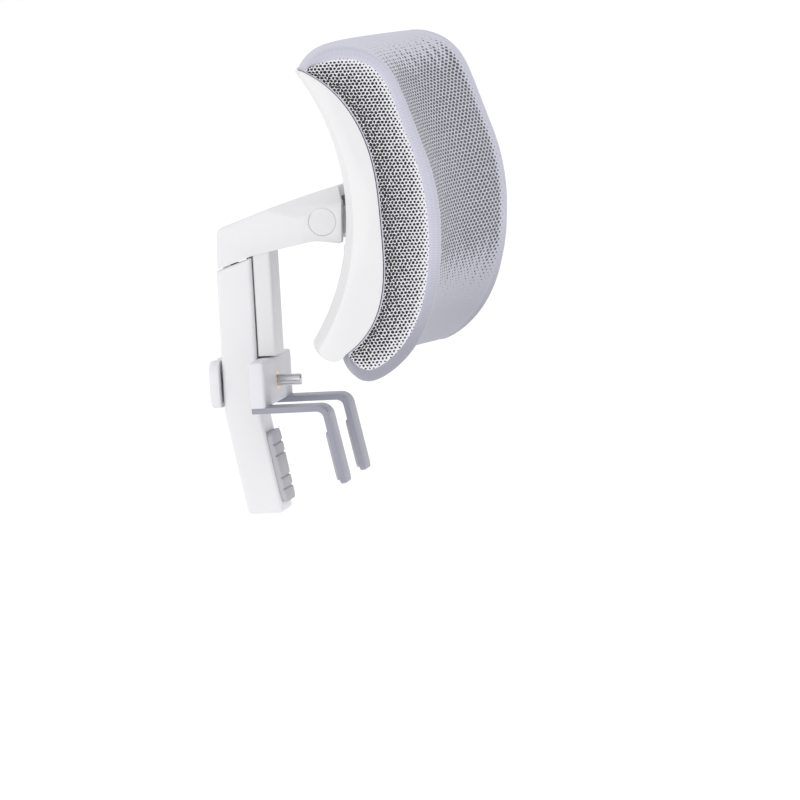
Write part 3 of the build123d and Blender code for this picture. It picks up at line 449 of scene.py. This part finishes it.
def buildCushion():
    half, roll = abs(endX), cushion["edgeRoll"]
    turn = np.linspace(0, math.pi / 2, cushion["rollSteps"])
    fromEnd = roll * (1 - np.cos(turn))
    inner = np.linspace(-half + roll, half - roll, cushion["middleStations"])[1:-1]
    stations = np.concatenate([-half + fromEnd, inner, half - fromEnd[::-1]])
    rolled = roll * (1 - np.sin(turn))
    insets = np.concatenate([rolled, np.zeros(len(inner)), rolled[::-1]])
    walked = np.concatenate([[0], np.cumsum(np.hypot(np.diff(stations), np.diff(insets)))])
    inward = inwardNormals(crownEnd, np.vstack([crownEnd, rimEnd]).mean(axis=0))
    tips = np.clip(np.minimum(crownRun, crownRun[-1] - crownRun) / cushion["tipRoom"], 0, 1)
    tips = (tips * tips * (3 - 2 * tips))[:, None]
    nStations, nCrown, nRim = len(stations), len(crownEnd), len(rimEnd)
    verts = []
    crownIndex = np.zeros((nStations, nCrown), int)
    for i, x in enumerate(stations):
        for j, point in enumerate(sections(crownEnd + inward * tips * insets[i], x)):
            crownIndex[i, j] = len(verts)
            verts.append(point)
    rimIndex = np.zeros((nStations, nRim), int)
    for i, x in enumerate(stations):
        row = sections(rimEnd, x)
        for j in range(nRim):
            if j in (0, nRim - 1):
                rimIndex[i, j] = crownIndex[i, 0 if j == 0 else nCrown - 1]
            else:
                rimIndex[i, j] = len(verts)
                verts.append(row[j])
    faces, kinds, maps = [], [], []
    for i in range(nStations - 1):
        u0, u1 = walked[i] / mm, walked[i + 1] / mm
        for j in range(nCrown - 1):
            v0, v1 = crownRun[j] / mm, crownRun[j + 1] / mm
            here, following = crownIndex[i], crownIndex[i + 1]
            faces.append([here[j], here[j + 1], following[j + 1], following[j]])
            kinds.append(0)
            maps.append([(u0, v0), (u0, v1), (u1, v1), (u1, v0)])
        for j in range(nRim - 1):
            v0, v1 = rimRun[j] / mm, rimRun[j + 1] / mm
            here, following = rimIndex[i], rimIndex[i + 1]
            faces.append([here[j], following[j], following[j + 1], here[j + 1]])
            kinds.append(0)
            maps.append([(u0, v0), (u1, v0), (u1, v1), (u0, v1)])
    # gussets: rows between the rim and the crown at each end
    rows = cushion["gussetRows"]
    gussetAcross = {}
    for side, i in ((-1, 0), (1, nStations - 1)):
        grid = np.zeros((rows + 1, nCrown), int)
        grid[0], grid[rows] = rimIndex[i], crownIndex[i]
        rimRow = np.array([verts[k] for k in rimIndex[i]])
        crownRow = np.array([verts[k] for k in crownIndex[i]])
        for r in range(1, rows):
            for j in range(nCrown):
                if j in (0, nCrown - 1):
                    grid[r, j] = crownIndex[i, j]
                    continue
                t = r / rows
                grid[r, j] = len(verts)
                verts.append(rimRow[j] * (1 - t) + crownRow[j] * t)
                gussetAcross[grid[r, j]] = t
        for k in crownIndex[i]:
            gussetAcross.setdefault(k, 1.0)
        for k in rimIndex[i]:
            gussetAcross.setdefault(k, 0.0)
        for r in range(rows):
            for j in range(nCrown - 1):
                quad = [grid[r, j], grid[r, j + 1], grid[r + 1, j + 1], grid[r + 1, j]]
                if side > 0:
                    quad.reverse()
                corners = list(dict.fromkeys(quad))
                if len(corners) < 3:
                    continue
                faces.append(corners)
                kinds.append(1)
                maps.append([(verts[k][1] / mm, verts[k][2] / mm) for k in corners])
    verts = np.array(verts)
    mesh = bpy.data.meshes.new("headCushion")
    mesh.from_pydata(verts.tolist(), [], faces)
    mesh.polygons.foreach_set("material_index", kinds)
    clothMap = mesh.uv_layers.new(name="cloth")
    clothMap.data.foreach_set("uv", np.array([uv for corner in maps for uv in corner]).ravel())
    # how open the knit is: plain near seams and over the top and bottom, open in the middle of each panel
    opened, paintedLightPoints = np.zeros(len(verts)), np.ones(len(verts))
    runShare = crownRun / crownRun[-1]
    spread = knitSpread
    for i in range(nStations):
        fromSeam = min(walked[i], walked[-1] - walked[i]) / mm
        sideways = np.clip((fromSeam - spread["seamPlain"]) / spread["seamFade"], 0, 1)
        ragged = spread["raggedWide"] * math.sin(i * 1.7) + spread["raggedFine"] * math.sin(i * 4.1 + 1)
        for j in range(nCrown):
            upDown = np.clip((runShare[j] - spread["topPlain"] - ragged) / spread["topFade"], 0, 1)
            upDown *= np.clip((spread["lowPlain"] + ragged - runShare[j]) / spread["lowFade"], 0, 1)
            opened[crownIndex[i, j]] = sideways * upDown
            # painted shade over the front panel: darker towards its lower edge, and a little darker at the
            # top
            paintedLightPoints[crownIndex[i, j]] = np.interp(runShare[j], spread["paintedLightAt"], spread["paintedLight"])
    gussetOpen = np.zeros(len(verts))
    for k, t in gussetAcross.items():
        gussetOpen[k] = np.interp(t, spread["gussetAt"], spread["gussetOpen"])
    values = [(gussetOpen if kind else opened)[k] for face, kind in zip(faces, kinds) for k in face]
    # the gussets carry no painted shade
    paintedLightCorners = [1.0 if kind else paintedLightPoints[k] for face, kind in zip(faces, kinds) for k in face]
    for name, corners in (("openness", values), ("paintedLight", paintedLightCorners)):
        attribute = mesh.attributes.new(name, "FLOAT", "CORNER")
        attribute.data.foreach_set("value", np.array(corners, np.float32))
    piece = bpy.data.objects.new("headCushion", mesh)
    bpy.context.collection.objects.link(piece)
    return piece, rimIndex, crownIndex


pad, rimIndex, crownIndex = buildCushion()
pick(pad)
bpy.ops.object.mode_set(mode="EDIT")
bpy.ops.mesh.select_all(action="SELECT")
bpy.ops.mesh.normals_make_consistent(inside=False)
bpy.ops.object.mode_set(mode="OBJECT")
print("cushion built:", len(pad.data.vertices), "points")


def coords(mesh):
    out = np.zeros(len(mesh.vertices) * 3, np.float32)
    mesh.vertices.foreach_get("co", out)
    return out.reshape(-1, 3).astype(float)


def setCoords(mesh, points):
    mesh.vertices.foreach_set("co", np.asarray(points, np.float32).ravel())
    mesh.update()


def normals(mesh):
    out = np.zeros(len(mesh.vertices) * 3, np.float32)
    mesh.vertex_normals.foreach_get("vector", out)
    return out.reshape(-1, 3).astype(float)


home = coords(pad.data)
isRim = np.zeros(len(home), bool)
isRim[rimIndex.ravel()] = True
share = np.where(isRim, cushion["rimInset"], 1.0)[:, None]
start = home - normals(pad.data) * cushion["startInset"] * share
setCoords(pad.data, start)


def inflate(piece, held):
    group = piece.vertex_groups.new(name="held")
    group.add([int(k) for k in held], 1.0, "REPLACE")
    cloth = piece.modifiers.new("cloth", "CLOTH")
    settings = cloth.settings
    settings.quality = cushionCloth["quality"]
    settings.mass = cushionCloth["mass"]
    settings.tension_stiffness = cushionCloth["stretch"]
    settings.compression_stiffness = cushionCloth["stretch"]
    settings.shear_stiffness = cushionCloth["shear"]
    settings.bending_stiffness = cushionCloth["bend"]
    settings.use_pressure = True
    settings.uniform_pressure_force = cushionCloth["pressure"]
    settings.effector_weights.gravity = 0
    settings.vertex_group_mass = "held"
    cloth.point_cache.frame_start = 1
    cloth.point_cache.frame_end = cushionCloth["frames"]
    scene = bpy.context.scene
    for step in range(1, cushionCloth["frames"] + 1):
        scene.frame_set(step)
    shaped = piece.evaluated_get(bpy.context.evaluated_depsgraph_get())
    swollen = coords(shaped.to_mesh())
    shaped.to_mesh_clear()
    piece.modifiers.remove(cloth)
    scene.frame_set(1)
    return swollen


swollen = inflate(pad, np.where(isRim)[0])
move = swollen - start
length = np.linalg.norm(move, axis=1)
cap = cushion["mostSwell"]
move *= np.where(length > cap, cap / np.maximum(length, 1e-9), 1.0)[:, None]
# the swelling is evened out over neighbours, so that no lump stands alone, and sunken parts fill out again
ends = np.zeros(len(pad.data.edges) * 2, np.int32)
pad.data.edges.foreach_get("vertices", ends)
ends = ends.reshape(-1, 2)
count = np.bincount(ends.ravel(), minlength=len(move)).astype(float)[:, None]
for _ in range(cushion["evenPasses"]):
    total = np.zeros_like(move)
    np.add.at(total, ends[:, 0], move[ends[:, 1]])
    np.add.at(total, ends[:, 1], move[ends[:, 0]])
    move = np.where(isRim[:, None], move, 0.5 * move + 0.5 * total / count)
facing = normals(pad.data)
shape = start + move
sunk = np.clip(np.sum((home - shape) * facing, axis=1), 0, None)
setCoords(pad.data, shape + facing * (sunk * cushion["fillOut"])[:, None])
outward = np.sum(move * normals(pad.data), axis=1)[~isRim] / mm
print("cushion swelled, most", round(float(length.max() / mm), 2), "mm before the cap; outwards",
      round(float(np.median(outward)), 2), "mm in the middle of the spread")

shape = coords(pad.data)
out = normals(pad.data)
pull = np.zeros(len(shape))
pull[crownIndex[[0, -1]]] = sewnLines["seamPull"]
pull[crownIndex[[cushion["rollSteps"], -cushion["rollSteps"] - 1]]] = sewnLines["bandPull"]
along = np.arange(crownIndex.shape[1])
pucker = sewnLines["pucker"] * np.sin(along * 1.35) * np.sin(along * 0.37 + 1.1)
for i in sewnLines["puckered"]:
    pull[crownIndex[i]] -= np.abs(pucker)
setCoords(pad.data, shape - out * pull[:, None])
rounder = pad.modifiers.new("smooth", "SUBSURF")
rounder.levels = rounder.render_levels = 1
applyAll(pad)
pick(pad)
bpy.ops.object.shade_smooth()
pad.data.materials.append(materials["frontMesh"])
pad.data.materials.append(materials["gussetMesh"])
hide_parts("foam_core", "cover_panel", "cover_gusset_right", "cover_gusset_left")
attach(pad, "headrest")
print("cushion done:", len(pad.data.polygons), "faces")


stage = dict(drop=0.22, size=60.0, colour=(0.93, 0.93, 0.935), rough=0.9, glow=0.13, surround=1.0)

floorZ = cadBounds[0][2] - stage["drop"]
bpy.ops.object.select_all(action="DESELECT")
bpy.ops.mesh.primitive_plane_add(size=stage["size"], location=(0, 0, floorZ))
floor = bpy.context.object
floor.name = "studioFloor"
paleFloor, _, floorShader = startMaterial("paleFloor", stage["colour"], stage["rough"])
floorShader.inputs["Emission Color"].default_value = (1, 1, 1, 1)
floorShader.inputs["Emission Strength"].default_value = stage["glow"]
floor.data.materials.append(paleFloor)

world = bpy.data.worlds.new("studio")
bpy.context.scene.world = world
world.use_nodes = True
world.node_tree.nodes["Background"].inputs["Color"].default_value = (1, 1, 1, 1)
world.node_tree.nodes["Background"].inputs["Strength"].default_value = stage["surround"]

lampAim = (0, -0.045, 0.10)
lamps = {
    "sideBox": dict(place=(-2.2, 0.9, 0.35), size=(1.5, 1.3), power=9.0, colour=(1.0, 0.995, 0.98)),
    "frontBox": dict(place=(-0.8, -2.4, 0.6), size=(1.4, 1.2), power=2.0, colour=(0.93, 0.94, 1.0)),
}


def softbox(name, place, size, power, colour):
    lamp = bpy.data.lights.new(name, "AREA")
    lamp.shape = "RECTANGLE"
    lamp.size, lamp.size_y = size
    lamp.energy = power
    lamp.color = colour
    box = bpy.data.objects.new(name, lamp)
    box.location = place
    box.rotation_euler = (Vector(lampAim) - Vector(place)).to_track_quat("-Z", "Y").to_euler()
    bpy.context.collection.objects.link(box)


for name, lamp in lamps.items():
    softbox(name, **lamp)

camera = dict(
    azimuth=-81.4, elevation=4.86, roll=3.3, distance=3.2257, aim=(0, -0.0643, 0.0314),
    sensor=36, lens=274.5, reach=60,
)


def placeCamera():
    azimuth, elevation = math.radians(camera["azimuth"]), math.radians(camera["elevation"])
    level = math.cos(elevation)
    away = Vector((math.sin(azimuth) * level, -math.cos(azimuth) * level, math.sin(elevation)))
    data = bpy.data.cameras.new("camera")
    data.sensor_width = camera["sensor"]
    data.lens = camera["lens"]
    data.clip_end = camera["reach"]
    eye = bpy.data.objects.new("camera", data)
    turn = (-away).to_track_quat("-Z", "Y").to_matrix().to_4x4()
    tilt = Matrix.Rotation(math.radians(-camera["roll"]), 4, "Z")
    eye.matrix_world = Matrix.Translation(Vector(camera["aim"]) + away * camera["distance"]) @ turn @ tilt
    bpy.context.collection.objects.link(eye)
    bpy.context.scene.camera = eye


placeCamera()
bpy.context.scene.view_settings.view_transform = "Standard"
print("stage, light and camera ready")
